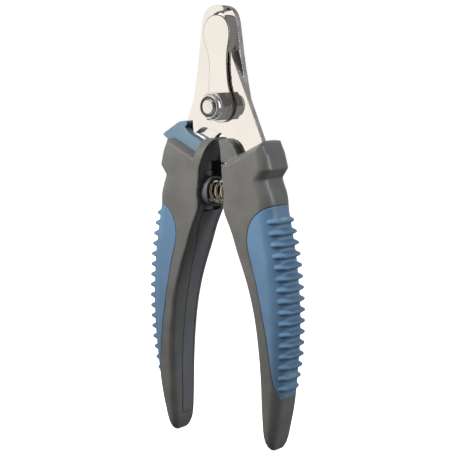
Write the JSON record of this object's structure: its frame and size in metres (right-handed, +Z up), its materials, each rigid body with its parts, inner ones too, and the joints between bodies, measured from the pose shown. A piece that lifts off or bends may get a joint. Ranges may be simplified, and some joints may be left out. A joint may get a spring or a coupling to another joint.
{
  "type": "scissor nail clipper",
  "caption": "Scissor-type pet nail clipper with half-moon blades, a swing-away guard, a sprung pair of ribbed handles and a sliding closing lock.",
  "frame": {"origin": "centre of the pivot bolt, in the plane where the two blades meet", "axes": "+Z up along the tool from the handles to the blade tips, +X to the right seen from the nut side, +Y away from the nut along the pivot"},
  "size_m": [0.068, 0.0188, 0.1629],
  "materials": {
    "blade_steel": "mirror polished stainless steel",
    "hardware_steel": "bright nickel-plated steel",
    "nylon": "dark nylon locking ring",
    "handle_black": "fine-textured matte black plastic",
    "core_black": "smooth matte black plastic",
    "grip_blue": "soft-touch blue rubber, satin",
    "lock_blue": "moulded blue plastic",
    "spring_steel": "drawn spring wire",
    "pin_steel": "plain steel"
  },
  "bodies": {
    "left_lever": {"rear_blade": "blade_steel", "left_core": "core_black", "left_shell": "handle_black", "left_grip": "grip_blue", "left_spring_cup": "core_black", "left_tang_pins": "pin_steel", "pivot_bolt": "hardware_steel", "pivot_nut": "hardware_steel", "nut_nylon_insert": "nylon", "rear_washer": "hardware_steel", "guard_spacer": "hardware_steel", "return_spring": "spring_steel"},
    "right_lever": {"front_blade": "blade_steel", "right_core": "core_black", "right_shell": "handle_black", "right_grip": "grip_blue", "right_spring_seat": "core_black", "right_tang_pins": "pin_steel"},
    "guard": {"quick_guard": "blade_steel"},
    "lock": {"lock_slider": "lock_blue"}
  },
  "joints": [
    {"name": "squeeze", "type": "hinge", "parent": "left_lever", "child": "right_lever", "pos_m": [0, 0, 0], "axis": [0, 1, 0], "range_deg": [0, 16], "stiffness_Nm_per_rad": 1.2, "springref_deg": -14.32, "deforming": ["return_spring"]},
    {"name": "guard_swing", "type": "hinge", "parent": "right_lever", "child": "guard", "pos_m": [0, -0.0036, 0], "axis": [0, 1, 0], "range_deg": [0, 90]},
    {"name": "lock_slide", "type": "slide", "parent": "left_lever", "child": "lock", "axis": [0.9023, 0, -0.4311], "range_m": [0, 0.0019]}
  ]
}
